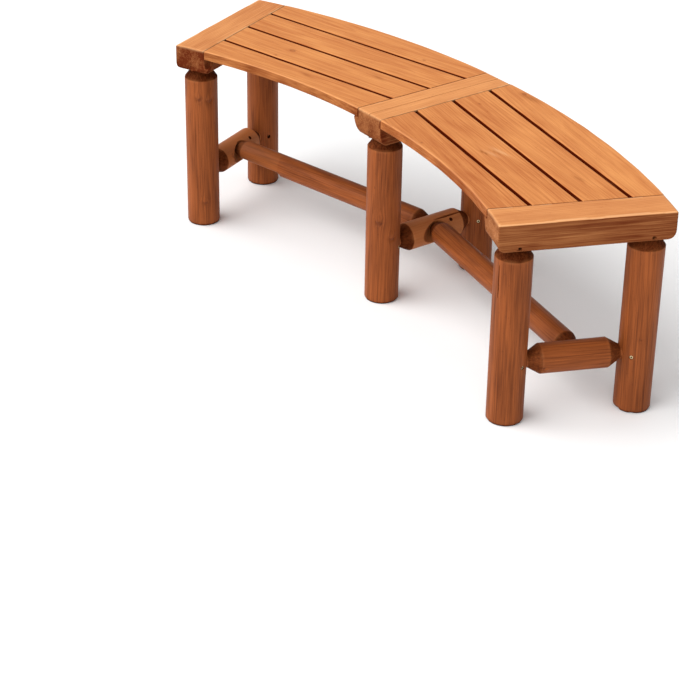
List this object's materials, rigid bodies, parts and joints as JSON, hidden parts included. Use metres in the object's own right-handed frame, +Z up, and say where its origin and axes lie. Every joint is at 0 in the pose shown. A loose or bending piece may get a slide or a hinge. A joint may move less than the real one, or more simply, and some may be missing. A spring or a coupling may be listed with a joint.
{
  "type": "curved log bench",
  "caption": "Curved rustic log bench: straight slats between flattened-log cross beams, on stout log legs joined by cross rails and long rails.",
  "frame": {"origin": "on the floor, under the middle of the bench's bounding box", "axes": "+Z up, +X along the bench, +Y towards its outer (convex) side"},
  "size_m": [1.378, 0.4604, 0.43],
  "materials": {
    "stained_boards": "semi-matt honey stain on planed softwood",
    "stained_beams": "semi-matt honey stain on sawn half logs",
    "stained_logs": "semi-matt honey stain on turned softwood logs",
    "dowel_wood": "plain beech",
    "brass_screws": "satin brass-plated",
    "steel_screws": "darkened zinc-plated"
  },
  "bodies": {
    "root": {"beam_left": "stained_beams", "beam_middle": "stained_beams", "beam_right": "stained_beams", "cross_rail_left": "stained_logs", "cross_rail_middle": "stained_logs", "cross_rail_right": "stained_logs", "cross_rail_screws": "brass_screws", "leg_left_back": "stained_logs", "leg_left_front": "stained_logs", "leg_middle_back": "stained_logs", "leg_middle_front": "stained_logs", "leg_right_back": "stained_logs", "leg_right_front": "stained_logs", "leg_tenon_screws": "steel_screws", "long_rail_left": "stained_logs", "long_rail_right": "stained_logs", "long_rail_screws": "steel_screws", "slat_dowels": "dowel_wood", "slat_left_1": "stained_boards", "slat_left_2": "stained_boards", "slat_left_3": "stained_boards", "slat_left_4": "stained_boards", "slat_right_1": "stained_boards", "slat_right_2": "stained_boards", "slat_right_3": "stained_boards", "slat_right_4": "stained_boards"}
  },
  "joints": []
}
